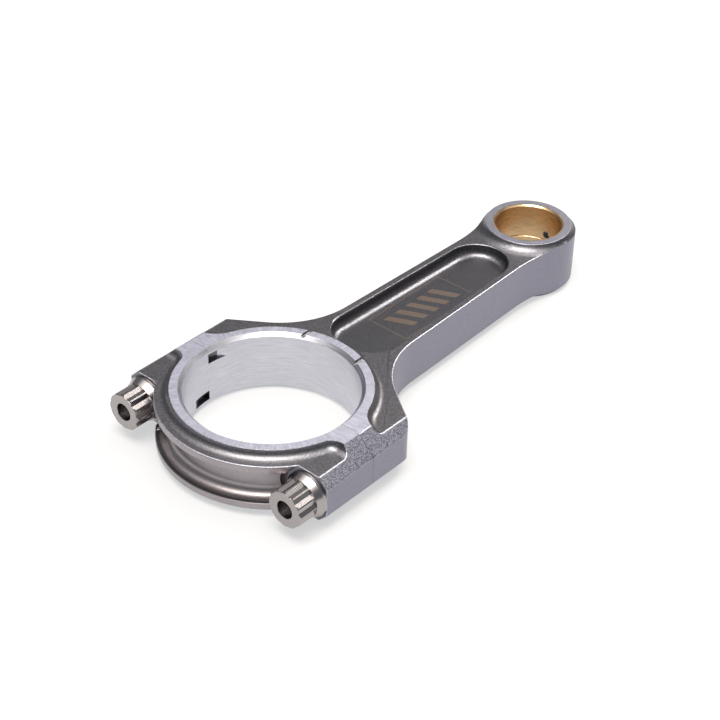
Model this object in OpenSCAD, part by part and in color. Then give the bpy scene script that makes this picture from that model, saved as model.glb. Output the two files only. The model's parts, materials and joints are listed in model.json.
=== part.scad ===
// Engine connecting rod lying flat: +X runs from the crankpin end to the wrist-pin end,
// +Z runs along both bores, and the origin is on the crankpin axis at mid-width.

/* [Overall] */
// Distance between the crankpin axis and the wrist-pin axis
centre_distance = 130.5; // [115:0.5:160]
// Width of the rod over the thrust faces, at both ends
rod_width = 21.6; // [18:0.1:26]

/* [Crankpin end] */
// Diameter of the housing bore that the bearing shells sit in
housing_bore_d = 55; // [46:0.5:66]
// Chamfer at both mouths of the housing bore
bore_chamfer = 1.2; // [0.4:0.1:2]
// Radial width of the raised thrust ring round the housing bore
ring_wall = 4; // [3:0.1:5]
// Height of the thrust faces above the shoulders, the beam and the cap
face_step = 2.7; // [1.5:0.1:3.5]
// Fillet at the foot of the thrust ring
foot_fillet = 3; // [2:0.1:3.5]
// Metal between the housing bore and the locating sleeves
sleeve_land = 0.8; // [0.6:0.1:2]
// Distance from a bolt axis to the flat side of the bolt pad
pad_margin = 7.3; // [7:0.1:9]
// 45 degree chamfer along the four long edges of the bolt pads
side_chamfer = 5.85; // [3:0.05:6]
// Radius of the rear corner of each bolt pad
pad_corner_r = 6; // [3:0.5:7]
// Reach of the raised thrust face beside the joint, on the rod side
neck_rod = 5; // [3:0.5:7]
// Reach of the raised thrust face beside the joint, on the cap side
neck_cap = 6.6; // [4:0.1:8]
// Sweep radius of the corner between the thrust ring and the neck, rod side
neck_rod_r = 10.7; // [8:0.1:12]
// Sweep radius of the same corner on the cap side
neck_cap_r = 4.5; // [3:0.1:6]

/* [Cap] */
// Distance from the joint face to the seats under the bolt heads
seat_depth = 20.5; // [18:0.5:23]
// Radial depth of the channel round the back of the cap
channel_depth = 4.7; // [3:0.1:6]
// Thickness of the two ribs beside that channel
rib_t = 2.4; // [1.8:0.1:3]
// Fillet at the bottom corners of the channel
channel_fillet = 2.4; // [1:0.1:3]
// Radius of the round seat that each bolt head bears on
seat_r = 8.5; // [8:0.1:9]
// Radius of the socket clearance milled round each seat
relief_r = 10.6; // [10:0.1:11]
// Depth of that clearance below the seat
relief_depth = 1.7; // [1:0.1:2.5]

/* [Beam] */
// Width of the beam where the shoulders run into it
beam_w_crank = 29; // [26:0.5:32]
// Width of the beam where it meets the wrist-pin eye
beam_w_pin = 26.1; // [23:0.1:27]
// Distance from the thrust ring to where the beam's straight sides start
flare_gap = 19.5; // [15:0.5:24]
// Radius between the shoulders and the beam
flare_r = 30; // [20:1:32]
// Angle of the shoulders to the beam
flare_angle = 55; // [50:1:60]
// Width of the rails beside the pocket
rail_w = 2.4; // [1.8:0.1:3]
// Depth of the pocket in each flat of the beam
pocket_depth = 4.5; // [3:0.1:5.5]
// Corner radius of the pocket at the crankpin end
pocket_corner_r = 10; // [7:0.5:11]
// Gap between the thrust ring and the pocket
pocket_gap = 2.75; // [2:0.25:5]
// Gap between the wrist-pin thrust face and the end of the pocket
pocket_eye_gap = 3.3; // [2.8:0.1:9]

/* [Wrist-pin end] */
// Diameter of the wrist pin that runs in the bush
pin_d = 23; // [20:0.5:25]
// Wall of the bush
bush_wall = 1; // [0.8:0.1:1.5]
// Radial width of the thrust face round the bush
pin_ring_wall = 2.3; // [1.8:0.1:3]
// Metal round the bush at mid-width
eye_wall = 3.9; // [3.5:0.1:6]
// Offset of the eye beyond the wrist-pin axis, for thicker metal at the tip
eye_offset = 0.5; // [0:0.1:1.5]
// Fillet between the eye's thrust face and the beam
eye_fillet = 4.5; // [3.5:0.1:5]
// Radius that blends the beam into the eye
eye_blend_r = 60; // [40:1:70]
// Width of the oil groove in the bush
groove_w = 4.1; // [2:0.1:6]
// Depth of the oil groove in the bush
groove_depth = 0.4; // [0.2:0.1:0.5]
// Diameter of the oil hole through the tip of the eye
oil_hole_d = 2.8; // [1.5:0.1:4]

/* [Bearing details] */
// Width of the slots that hold the bearing tangs
tang_w = 3.3; // [2.5:0.1:4]
// Distance from a thrust face to the middle of the tang slot nearest it
tang_inset = 3.95; // [3.8:0.05:5]
// Radius of the cutter that makes the tang slots
tang_cutter_r = 9; // [7:0.5:11]
// Depth of the tang slots near the joint face
tang_depth = 1.7; // [1:0.1:2]
// Distance of the tang cutter's axis from the joint face
tang_offset = 0.6; // [0:0.1:1]
// Distance of the oil notches from the centre line
notch_y = 11; // [8:0.5:14]
// Width of the oil notches
notch_w = 1.5; // [1:0.1:2]
// Depth of the oil notches
notch_depth = 0.9; // [0.5:0.1:1.2]

/* [Bolts and sleeves] */
// Outside diameter of the bolt's thread and shank
bolt_d = 9.525; // [8:0.025:10]
// Pitch of the bolt's thread
thread_pitch = 1.058; // [0.8:0.001:1.5]
// Length of thread that the bolt has in the rod
thread_len = 17; // [14:0.5:18]
// Distance across the flats of the twelve-point head
head_flats = 11.11; // [10:0.01:12]
// Height of the bolt head above its seat
head_h = 10.2; // [8:0.1:12]
// Diameter of the flat end of the head, inside its chamfer
head_face_d = 11.8; // [10:0.1:12.4]
// Diameter of the flange under the head
flange_d = 15.2; // [14:0.1:16]
// Thickness of the flange's rim
flange_rim = 0.9; // [0.6:0.1:1.5]
// Height of the cone between the rim and the twelve points
flange_cone = 2.3; // [1.5:0.1:3]
// Diameter of the blind hole in the bolt's head
dimple_d = 5.9; // [4:0.1:6.5]
// Depth of the blind hole in the bolt's head
dimple_depth = 4.5; // [2:0.1:6]
// Wall of the locating sleeves
sleeve_wall = 0.7575; // [0.5:0.0025:1.2]
// Length of the locating sleeves, half in the rod and half in the cap
sleeve_len = 8; // [5:0.5:10]

/* [Fits] */
// Radial clearance of the bolts in the cap, the sleeves and the rod
bolt_clearance = 0.08; // [0.03:0.01:0.1]
// Radial clearance of the sleeves in the cap
sleeve_clearance = 0.03; // [0.01:0.01:0.05]
// End gap of a sleeve in its counterbores
sleeve_end_gap = 0.3; // [0.1:0.1:0.5]

/* [Hidden] */
$fn = 96;
over = 1;
arc_steps = 16;
hull_facets = 32;
steel_dark = [0.36, 0.35, 0.36];
steel_warm = [0.42, 0.39, 0.38];
steel_bright = [0.62, 0.59, 0.56];
steel_plain = [0.5, 0.5, 0.52];
bronze = [0.78, 0.58, 0.33];
half_w = rod_width / 2;
shoulder_z = half_w - face_step;
bore_r = housing_bore_d / 2;
ring_r = bore_r + ring_wall;
bolt_r = bolt_d / 2;
sleeve_r = bolt_r + bolt_clearance + sleeve_wall;
bolt_y = bore_r + sleeve_land + sleeve_r;
pad_y = bolt_y + pad_margin;
cap_r = ring_r + channel_depth;
channel_z = shoulder_z - rib_t;
bush_bore_r = pin_d / 2;
bush_r = bush_bore_r + bush_wall;
pin_ring_r = bush_r + pin_ring_wall;
eye_r = bush_r + eye_wall;
eye_x = centre_distance + eye_offset;
beam_start = ring_r + flare_gap;
beam_y = beam_w_crank / 2;
beam_end_y = beam_w_pin / 2;
blend_y = beam_end_y + eye_blend_r;
blend_x = eye_x - sqrt(pow(eye_r + eye_blend_r, 2) - pow(blend_y, 2));
blend_angle = atan2(eye_x - blend_x, blend_y);
pocket_end_r = beam_end_y - rail_w;
pocket_end_x = centre_distance - pin_ring_r - pocket_eye_gap - pocket_end_r;
pocket_corner_y = beam_y - rail_w - pocket_corner_r;
pocket_corner_x = sqrt(pow(ring_r + pocket_gap + pocket_corner_r, 2) - pow(pocket_corner_y, 2));
flare_end = [beam_start - flare_r * sin(flare_angle), beam_y + flare_r * (1 - cos(flare_angle))];
corner_x = flare_end[0] - (pad_y - flare_end[1]) / tan(flare_angle);
corner_cx = corner_x - pad_corner_r * tan(flare_angle / 2);
tang_z = half_w - tang_inset;
tang_cy = bore_r + tang_depth - tang_cutter_r;
clear_of_part = 2 * centre_distance;

// Points along an arc round [x, y], from angle a to angle b
function arc(x, y, r, a, b) = [for (i = [0 : arc_steps]) let (t = a + (b - a) * i / arc_steps)
    [x + r * cos(t), y + r * sin(t)]];
// The same points mirrored to the other side of the X axis, in reverse order
function mirrored(pts) = [for (i = [len(pts) - 1 : -1 : 0]) [pts[i][0], -pts[i][1]]];

// One side of the rod's plan outline, from the joint face to the tip of the eye
half_outline = concat(
    [[0, pad_y]],
    arc(corner_cx, pad_y - pad_corner_r, pad_corner_r, 90, 90 - flare_angle),
    arc(beam_start, beam_y + flare_r, flare_r, 270 - flare_angle, 270),
    arc(blend_x, blend_y, eye_blend_r, 270, 270 + blend_angle),
    arc(eye_x, 0, eye_r, 90 + blend_angle, 0));

module both_faces() {
    for (side = [0, 1]) mirror([0, 0, side]) children();
}

module both_sides() {
    for (side = [0, 1]) mirror([0, side, 0]) children();
}

// Block on the rod's side of the joint face (side 1) or on the cap's side (side -1)
module half_space(side) {
    translate([(side - 1) * clear_of_part / 2, -clear_of_part, -rod_width])
        cube([clear_of_part, 2 * clear_of_part, 2 * rod_width]);
}

// Cylinder along Z, centred on mid-width
module post(r, h) {
    cylinder(r = r, h = h, center = true);
}

// Concave ring between a raised face of radius r and the level face_step below it
module foot_ring(r, fillet) {
    reach = sqrt(pow(fillet, 2) - pow(fillet - face_step, 2));
    start = fillet > face_step ? fillet - face_step : 0;
    difference() {
        translate([0, 0, shoulder_z - over]) cylinder(r = r + reach, h = face_step + over);
        rotate_extrude() translate([r + reach, shoulder_z + fillet]) circle(r = fillet);
        translate([0, 0, shoulder_z - 2 * over]) cylinder(r = r - 2 * over, h = face_step + 4 * over);
    }
}

// Raised thrust face beside the joint, out to the side of the bolt pads
module neck(reach, corner_r) {
    corner_a = acos((reach + corner_r) / (ring_r + corner_r));
    cx = reach + corner_r;
    cy = (ring_r + corner_r) * sin(corner_a);
    linear_extrude(height = rod_width, center = true) difference() {
        square([cx, pad_y]);
        translate([cx, cy]) circle(r = corner_r);
        translate([reach, cy]) square([cx, pad_y]);
    }
}

// Cuts the long edges of the bolt pads at 45 degrees
module pad_chamfers() {
    both_faces() both_sides() rotate([90, 0, 90]) linear_extrude(height = clear_of_part, center = true)
        polygon([[pad_y - side_chamfer, half_w], [pad_y + over, half_w - side_chamfer - over],
                 [pad_y + over, half_w + over], [pad_y - side_chamfer, half_w + over]]);
}

module housing_bore() {
    post(bore_r, rod_width + 2 * over);
    both_faces() translate([0, 0, half_w - bore_chamfer])
        cylinder(r1 = bore_r, r2 = bore_r + bore_chamfer + over, h = bore_chamfer + over);
}

// Slot for a bearing tang, in the left wall at the joint face
module tang_slot(z) {
    translate([tang_offset * sign(z), tang_cy, z]) cylinder(r = tang_cutter_r, h = tang_w, center = true);
}

// Oil notches across the thrust ring, along the rod
module oil_notches() {
    cut = 3 * ring_wall;
    both_faces() both_sides() translate([ring_r - cut, notch_y, half_w + notch_w / 2 - notch_depth]) {
        rotate([0, 90, 0]) cylinder(d = notch_w, h = cut);
        translate([0, -notch_w / 2, 0]) cube([cut, notch_w, over]);
    }
}

// Cylinder along X on the bolt axis, from x0 to x1
module along_bolt(r, x0, x1) {
    translate([x0, bolt_y, 0]) rotate([0, 90, 0]) cylinder(r = r, h = x1 - x0);
}

// Flat-bottomed pocket in one face of the beam
module pocket() {
    h = pocket_depth + over;
    translate([0, 0, shoulder_z - pocket_depth]) hull() {
        for (y = [-pocket_corner_y, pocket_corner_y])
            translate([pocket_corner_x, y]) cylinder(r = pocket_corner_r, h = h, $fn = hull_facets);
        translate([pocket_end_x, 0]) cylinder(r = pocket_end_r, h = h, $fn = hull_facets);
    }
}

module rod_body() {
    color(steel_dark) difference() {
        union() {
            linear_extrude(height = 2 * shoulder_z, center = true)
                polygon(concat(half_outline, mirrored(half_outline)));
            intersection() {
                union() {
                    post(ring_r, rod_width);
                    both_faces() foot_ring(ring_r, foot_fillet);
                    both_sides() neck(neck_rod, neck_rod_r);
                }
                half_space(1);
            }
            intersection() {
                union() {
                    translate([centre_distance, 0, 0]) post(pin_ring_r, rod_width);
                    both_faces() translate([centre_distance, 0, 0]) foot_ring(pin_ring_r, eye_fillet);
                }
                linear_extrude(height = rod_width, center = true)
                    polygon(concat(half_outline, mirrored(half_outline)));
            }
        }
        pad_chamfers();
        housing_bore();
        tang_slot(tang_z);
        oil_notches();
        both_faces() pocket();
        both_sides() along_bolt(bolt_r + bolt_clearance, -over, centre_distance / 2);
        both_sides() along_bolt(sleeve_r, -over, sleeve_len / 2 + sleeve_end_gap);
        translate([centre_distance, 0, 0]) post(bush_r, rod_width + 2 * over);
        translate([centre_distance, 0, 0]) rotate([0, 90, 0]) cylinder(d = oil_hole_d, h = 2 * eye_r);
    }
}

// Section of the channel round the back of the cap
module channel_section() {
    translate([ring_r, 0]) difference() {
        translate([0, -channel_z]) square([channel_depth + over, 2 * channel_z]);
        for (side = [0, 1]) mirror([0, side]) translate([0, channel_z - channel_fillet]) difference() {
            translate([-over, 0]) square([channel_fillet + over, channel_fillet + over]);
            translate([channel_fillet, 0]) circle(r = channel_fillet);
        }
    }
}

// Clearance for a socket, between a bolt's round seat and the channel
module socket_relief() {
    intersection() {
        difference() {
            along_bolt(relief_r, -2 * cap_r, relief_depth - seat_depth);
            along_bolt(seat_r, -3 * cap_r, 0);
        }
        translate([-2 * cap_r, 0, -channel_z]) cube([2 * cap_r, bolt_y, 2 * channel_z]);
    }
}

module bearing_cap() {
    color(steel_warm) difference() {
        intersection() {
            union() {
                post(cap_r, 2 * shoulder_z);
                post(ring_r, rod_width);
                both_faces() foot_ring(ring_r, foot_fillet);
                translate([-seat_depth, -pad_y, -shoulder_z]) cube([seat_depth, 2 * pad_y, 2 * shoulder_z]);
                both_sides() mirror([1, 0, 0]) neck(neck_cap, neck_cap_r);
            }
            half_space(-1);
        }
        difference() {
            rotate_extrude() channel_section();
            both_sides() along_bolt(seat_r, -seat_depth, over);
            both_sides() translate([-seat_depth, bolt_y, -half_w])
                cube([seat_depth + over, pad_margin, rod_width]);
        }
        both_sides() along_bolt(seat_r, -2 * cap_r, -seat_depth);
        both_sides() socket_relief();
        pad_chamfers();
        housing_bore();
        tang_slot(-tang_z);
        both_sides() along_bolt(bolt_r + bolt_clearance, -2 * seat_depth, over);
        both_sides() along_bolt(sleeve_r + sleeve_clearance, -sleeve_len / 2 - sleeve_end_gap, over);
    }
}

module pin_bush() {
    color(bronze) translate([centre_distance, 0, 0]) difference() {
        post(bush_r, rod_width);
        post(bush_bore_r, rod_width + 2 * over);
        both_faces() translate([0, 0, half_w - bush_wall / 2])
            cylinder(r1 = bush_bore_r, r2 = bush_bore_r + bush_wall, h = bush_wall);
        post(bush_bore_r + groove_depth, groove_w);
        rotate([0, 90, 0]) cylinder(d = oil_hole_d, h = 2 * bush_r);
    }
}

// Bolt with its axis on X, its head towards -X and its seat at x = 0
module cap_bolt() {
    point_r = head_flats / 2 / cos(30);
    tip_z = -seat_depth - thread_len;
    hole_z = head_h - dimple_depth;
    drill_tip = dimple_d / 4;
    rotate([0, -90, 0]) difference() {
        union() {
            cylinder(d = flange_d, h = flange_rim);
            translate([0, 0, flange_rim]) cylinder(d1 = flange_d, d2 = head_flats, h = flange_cone);
            intersection() {
                for (turn = [0, 30]) rotate([0, 0, turn]) cylinder(r = point_r, h = head_h, $fn = 6);
                cylinder(d1 = head_face_d + 2 * head_h, d2 = head_face_d, h = head_h);
            }
            translate([0, 0, tip_z]) cylinder(r1 = bolt_r - thread_pitch, r2 = bolt_r, h = thread_pitch);
            translate([0, 0, tip_z + thread_pitch]) cylinder(r = bolt_r, h = over - tip_z - thread_pitch);
        }
        rotate_extrude() polygon([[0, hole_z - drill_tip], [dimple_d / 2, hole_z],
                                  [dimple_d / 2, head_h + over], [0, head_h + over]]);
    }
}

module cap_bolt_left() {
    color(steel_bright) translate([-seat_depth, bolt_y, 0]) cap_bolt();
}

module cap_bolt_right() {
    color(steel_bright) translate([-seat_depth, -bolt_y, 0]) cap_bolt();
}

// Hollow sleeve round a bolt, across the joint face
module dowel_sleeve() {
    difference() {
        along_bolt(sleeve_r, -sleeve_len / 2, sleeve_len / 2);
        along_bolt(bolt_r + bolt_clearance, -sleeve_len, sleeve_len);
    }
}

module dowel_sleeve_left() {
    color(steel_plain) dowel_sleeve();
}

module dowel_sleeve_right() {
    color(steel_plain) mirror([0, 1, 0]) dowel_sleeve();
}

rod_body();
bearing_cap();
pin_bush();
cap_bolt_left();
cap_bolt_right();
dowel_sleeve_left();
dowel_sleeve_right();
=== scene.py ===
import json
import math

import bmesh
import bpy
from bpy.props import FloatProperty, FloatVectorProperty, PointerProperty
from mathutils import Matrix, Vector


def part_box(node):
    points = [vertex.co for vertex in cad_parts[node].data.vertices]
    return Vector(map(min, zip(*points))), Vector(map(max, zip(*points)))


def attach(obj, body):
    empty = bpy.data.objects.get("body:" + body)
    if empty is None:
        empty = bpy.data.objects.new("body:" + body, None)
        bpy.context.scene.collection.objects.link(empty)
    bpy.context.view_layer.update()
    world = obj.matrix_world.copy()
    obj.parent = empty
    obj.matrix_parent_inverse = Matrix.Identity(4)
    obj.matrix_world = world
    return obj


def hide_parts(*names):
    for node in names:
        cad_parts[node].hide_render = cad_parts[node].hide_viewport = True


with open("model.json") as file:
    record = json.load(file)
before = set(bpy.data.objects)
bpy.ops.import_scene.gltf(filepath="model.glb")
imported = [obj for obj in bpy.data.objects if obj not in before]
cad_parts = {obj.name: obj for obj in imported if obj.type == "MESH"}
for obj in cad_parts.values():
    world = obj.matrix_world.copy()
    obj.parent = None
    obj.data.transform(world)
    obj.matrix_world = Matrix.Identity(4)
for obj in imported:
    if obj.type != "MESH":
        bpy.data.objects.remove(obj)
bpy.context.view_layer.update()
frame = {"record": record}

bl_info = {
    "name": "Connecting Rod",
    "version": (1, 0, 0),
    "blender": (4, 5, 0),
    "location": "View3D > Sidebar > Rod",
    "description": "Builds a two-bolt engine connecting rod with its cap, bolts, sleeves and bush",
    "category": "Object",
}

MM = 0.001
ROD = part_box("rod_body")
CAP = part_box("bearing_cap")
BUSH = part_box("pin_bush")
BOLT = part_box("cap_bolt_left")
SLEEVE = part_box("dowel_sleeve_left")
MOUNTS = {mount["name"]: mount for mount in frame["record"]["mounts"]}

HALF_W = ROD[1].z
PAD_Y = ROD[1].y
BOLT_Y = (BOLT[0].y + BOLT[1].y) / 2
PIN_X = (BUSH[0].x + BUSH[1].x) / 2
BUSH_R = (BUSH[1].x - BUSH[0].x) / 2
SLEEVE_R = SLEEVE[1].z
FLANGE_R = BOLT[1].z
HOUSING_R = MOUNTS["crankpin_bore"]["dims"]["r_mm"] * MM
PIN_R = MOUNTS["wrist_pin_bore"]["dims"]["r_mm"] * MM

# How far cutters run past the solid: just past a face, past the mid-width cut, and right across
OVER, UNDER, FAR = 3 * MM, 4 * MM, 60 * MM
# Where cutters start that come from behind the cap
BEHIND = -80 * MM
# Lengths closer than this are the same place
TINY = 0.01 * MM
# Steps round the housing bore
BORE_STEPS = 160

# Order of the finishes' material slots on the rod and the cap
FORGED, FLANK, TURNED, GROUND, HONED, GRAINY, WORN_GLINT = range(7)
# The last slot holds the worn edges, which also carry a painted highlight


def length(name, description, mm):
    """A size in metres for the panel, with its default given in millimetres."""
    return FloatProperty(name=name, description=description, default=mm * MM, min=0.0,
                         precision=5, subtype="DISTANCE", unit="LENGTH")


def tint(name, description, red, green, blue):
    """A metal's colour for the panel."""
    return FloatVectorProperty(name=name, description=description, default=(red, green, blue),
                               size=3, min=0.0, max=1.0, subtype="COLOR")


class RodSizes(bpy.types.PropertyGroup):
    """Sizes of the rod body that the loaded frame doesn't state."""
    ring_wall: length("Ring wall", "Radial width of the crankpin thrust ring", 4)
    face_step: length("Face step", "Height of the thrust faces above the shoulders", 2.7)
    bore_chamfer: length("Bore chamfer", "Chamfer at both mouths of the housing bore", 1.2)
    foot_fillet: length("Foot fillet", "Fillet at the foot of the thrust ring", 3)
    side_chamfer: length("Side chamfer", "45 degree chamfer along the bolt pads", 5.85)
    corner_r: length("Pad corner", "Radius of the rear corner of a bolt pad", 6)
    neck: length("Neck", "Reach of the raised face beside the joint, on the rod", 5)
    neck_r: length("Neck sweep", "Radius between the thrust ring and the neck, on the rod", 10.7)
    beam_start: length("Beam start", "Where the straight sides of the beam begin", 51)
    beam_y: length("Beam half width", "Half the beam's width at its crankpin end", 14.5)
    beam_end_y: length("Beam end half width", "Half the beam's width at its pin end", 13.05)
    flare_r: length("Flare", "Radius between the shoulders and the beam", 30)
    eye_r: length("Eye", "Outer radius of the wrist-pin eye", 16.4)
    eye_offset: length("Eye offset", "How far the eye's outside stands past the pin axis", 0.5)
    eye_blend_r: length("Eye blend", "Radius that blends the beam into the eye", 60)
    eye_face_r: length("Eye face", "Outer radius of the thrust face round the bush", 14.8)
    eye_fillet: length("Eye fillet", "Fillet from the eye's thrust face to the beam", 4.5)
    pocket_x: length("Pocket start", "Centre of the pocket's corners at the crankpin end", 44.25)
    pocket_y: length("Pocket corners", "Half the distance between those centres", 2.1)
    pocket_r: length("Pocket corner", "Corner radius of the pocket", 10)
    pocket_end_r: length("Pocket end", "Radius of the pocket's round end", 10.65)
    pocket_depth: length("Pocket depth", "Depth of the pocket below the beam's flats", 4.5)
    pocket_fillet: length("Pocket fillet", "Fillet round the pocket's floor", 2.6)
    flare_angle: FloatProperty(name="Shoulder angle", description="Angle of the shoulders to the beam",
                               default=math.radians(55), subtype="ANGLE", unit="ROTATION")
    # These edges are worn and also carry a painted highlight
    edge: length("Worn edge", "Width of the worn convex edges", 0.3)
    joint_edge: length("Joint edge", "Width of the broken edge round the joint face", 0.08)
    tang_z: length("Tang slot height", "Distance of the tang slots from mid-width", 6.85)
    tang_w: length("Tang slot width", "Width of the slots for the bearing tangs", 3.3)
    tang_r: length("Tang cutter", "Radius of the cutter that makes the tang slots", 9)
    tang_depth: length("Tang slot depth", "Depth of the tang slots", 1.7)
    tang_offset: length("Tang offset", "Distance of the tang cutter's axis from the joint", 0.6)
    notch_y: length("Oil notch place", "Distance of the oil notches from the centre line", 11)
    notch_w: length("Oil notch width", "Width of the oil notches", 1.5)
    notch_depth: length("Oil notch depth", "Depth of the oil notches", 0.9)
    oil_hole_r: length("Oil hole", "Radius of the oil hole through the tip of the eye", 1.4)
    bolt_gap: length("Bolt clearance", "Radial clearance round each bolt", 0.08)


class CapSizes(bpy.types.PropertyGroup):
    """Sizes of the bearing cap that the loaded frame doesn't state."""
    seat_depth: length("Seat depth", "Distance from the joint to the bolt seats", 20.5)
    rib: length("Rib", "Thickness of the ribs beside the channel", 2.4)
    channel_fillet: length("Channel fillet", "Fillet in the bottom corners of the channel", 3.4)
    seat_r: length("Seat", "Radius of the round seat under a bolt head", 8.5)
    relief_r: length("Socket relief", "Radius of the relief round a seat", 10.6)
    relief_depth: length("Relief depth", "Depth of that relief below the seat", 1.7)
    neck: length("Neck", "Reach of the raised face beside the joint, on the cap", 6.6)
    neck_r: length("Neck sweep", "Radius between the thrust ring and the neck, on the cap", 4.5)


class BoltSizes(bpy.types.PropertyGroup):
    """Sizes of the cap bolts, the sleeves and the bush."""
    shank_r: length("Shank", "Outside radius of the bolt's thread and shank", 4.7625)
    pitch: length("Pitch", "Pitch of the bolt's thread", 1.058)
    thread_depth: length("Thread depth", "Depth of the bolt's thread", 0.6)
    flats: length("Flats", "Distance across the flats of the twelve-point head", 11.11)
    head_end_r: length("Head end", "Radius of the flat end of the head", 5.9)
    rim: length("Flange rim", "Thickness of the flange's rim", 0.9)
    cone: length("Flange cone", "Height of the cone on the flange", 2.3)
    collar_r: length("Cone top radius", "Radius of the cone where the flutes end", 6.45)
    dimple_r: length("Blind hole", "Radius of the blind hole in the head", 2.95)
    dimple_depth: length("Blind hole depth", "Depth of the blind hole in the head", 4.5)
    edge: length("Edge", "Width of the broken edges on the head", 0.14)
    groove_w: length("Groove", "Width of the oil groove in the bush", 4.1)
    groove_depth: length("Groove depth", "Depth of the oil groove in the bush", 0.4)
    bush_chamfer: length("Bush chamfer", "Chamfer at both mouths of the bush", 0.5)


class Finishes(bpy.types.PropertyGroup):
    """Colours of the metals and the strength of the light."""
    forged: tint("Forged steel", "Colour of the peened forging", 0.156, 0.160, 0.181)
    turned: tint("Turned steel", "Colour of the cap's channel and rims", 0.37, 0.338, 0.352)
    flank: tint("Flank steel", "Colour of the satin side walls", 0.238, 0.238, 0.296)
    ground: tint("Ground steel", "Colour of the ground thrust faces", 0.46, 0.465, 0.555)
    honed: tint("Honed steel", "Colour of the honed housing bore", 0.58, 0.585, 0.64)
    plated: tint("Bolt steel", "Colour of the bolts", 0.39, 0.365, 0.365)
    bronze: tint("Bronze", "Colour of the bush", 0.62, 0.455, 0.28)
    etched: tint("Etched mark", "Colour of the etched mark in the pocket", 0.16, 0.124, 0.104)
    overhead: FloatProperty(name="Overhead light", description="Brightness of the studio's ceiling",
                            default=2.3, min=0.0)
    surround: FloatProperty(name="Surroundings", description="Brightness of the studio's walls",
                            default=0.22, min=0.0)
    floor_glow: FloatProperty(name="Floor glow", description="Share of the floor's light from below",
                              default=0.56, min=0.0, max=1.0)


def sizes(context):
    """The panel's sizes of the rod, of the cap, and of the bolts with the sleeves and the bush."""
    return context.scene.conrod_sizes, context.scene.conrod_cap, context.scene.conrod_bolts


# ---------------------------------------------------------------- modelling


def only(obj):
    """Selects one object and makes it the active one."""
    bpy.ops.object.select_all(action="DESELECT")
    obj.select_set(True)
    bpy.context.view_layer.objects.active = obj
    return obj


def edit_all(obj):
    """Opens an object in edit mode with all of it selected."""
    only(obj)
    bpy.ops.object.mode_set(mode="EDIT")
    bpy.ops.mesh.select_all(action="SELECT")


def arc(x, y, r, start, end, steps):
    """Points along an arc round (x, y), with its angles in radians."""
    return [(x + r * math.cos(start + (end - start) * i / steps),
             y + r * math.sin(start + (end - start) * i / steps)) for i in range(steps + 1)]


def both_halves(half):
    """A half outline with its mirror image across the X axis."""
    return half + [(x, -y) for x, y in reversed(half) if abs(y) > 1e-9]


def draw(name, points):
    """Extrudes one vertex from point to point, which leaves a wire in edit mode."""
    bpy.ops.object.select_all(action="DESELECT")
    bpy.ops.mesh.primitive_plane_add(size=MM, location=(0, 0, 0))
    obj = bpy.context.object
    obj.name = obj.data.name = name
    bpy.ops.object.mode_set(mode="EDIT")
    bpy.ops.mesh.select_mode(type="VERT")
    bpy.ops.mesh.merge(type="CENTER")
    bpy.ops.transform.translate(value=points[0])
    for here, there in zip(points, points[1:]):
        step = Vector(there) - Vector(here)
        bpy.ops.mesh.extrude_region_move(TRANSFORM_OT_translate={"value": step})
    bpy.ops.mesh.select_all(action="SELECT")
    return obj


def pick_faces(obj, test):
    """Selects only the faces that pass the test, in edit mode."""
    bpy.ops.mesh.select_mode(type="FACE")
    bpy.ops.mesh.select_all(action="DESELECT")
    mesh = bmesh.from_edit_mesh(obj.data)
    for face in mesh.faces:
        if test(face):
            face.select_set(True)
    bmesh.update_edit_mesh(obj.data)


def close(obj):
    """Leaves edit mode with doubles merged and every face pointing outwards."""
    bpy.ops.mesh.select_mode(type="VERT")
    bpy.ops.mesh.select_all(action="SELECT")
    bpy.ops.mesh.remove_doubles(threshold=1e-7)
    bpy.ops.mesh.normals_make_consistent(inside=False)
    bpy.ops.mesh.select_all(action="DESELECT")
    bpy.ops.object.mode_set(mode="OBJECT")
    return obj


def quarter(radius, steps, flat_first, rise=None):
    """Insets and rises along a quarter round, or along the part of it that climbs by rise."""
    end = math.pi / 2 if rise is None else math.acos(1 - rise / radius)
    turns = [end * i / steps for i in range(steps + 1)]
    places = [(radius * math.sin(a), radius * (1 - math.cos(a))) for a in turns]
    if not flat_first:
        places = [(across, along) for along, across in places]
    return [(b[0] - a[0], b[1] - a[1]) for a, b in zip(places, places[1:])]


def build_up(name, outline, base, rise, steps=()):
    """Solid on an outline: extruded by rise, then inset and raised step by step."""
    obj = draw(name, [(x, y, base) for x, y in outline])
    bpy.ops.mesh.edge_face_add()
    bpy.ops.mesh.extrude_region_move(TRANSFORM_OT_translate={"value": (0, 0, rise)})
    bpy.ops.mesh.select_all(action="SELECT")
    bpy.ops.mesh.normals_make_consistent(inside=False)
    end = base + rise
    pick_faces(obj, lambda face: all(abs(v.co.z - end) < 1e-7 for v in face.verts))
    for inset, climb in steps:
        bpy.ops.mesh.inset(thickness=inset, depth=climb, use_even_offset=True)
    return close(obj)


def lathe(name, profile, centre, axis, steps):
    """Spins a profile of (along, radius) points right round an X or a Z axis.

    A profile that starts and ends on the axis gets flat ends there; any other one is a ring.
    """
    solid = profile[0][1] == 0 and profile[-1][1] == 0
    used = profile[1:-1] if solid else profile + profile[:1]
    if axis == "X":
        points = [(centre[0] + along, centre[1] + r, centre[2]) for along, r in used]
        direction = (1, 0, 0)
    else:
        points = [(centre[0] + r, centre[1], centre[2] + along) for along, r in used]
        direction = (0, 0, 1)
    obj = draw(name, points)
    bpy.ops.mesh.spin(steps=steps, angle=2 * math.pi, center=centre, axis=direction)
    bpy.ops.mesh.select_all(action="SELECT")
    bpy.ops.mesh.remove_doubles(threshold=1e-7)
    if solid:
        bpy.ops.mesh.fill_holes(sides=0)
    return close(obj)


def drill(name, centre, r, start, end, steps=64):
    """Plain round cutter along X."""
    return lathe(name, [(start, 0), (start, r), (end, r), (end, 0)], centre, "X", steps)


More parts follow.
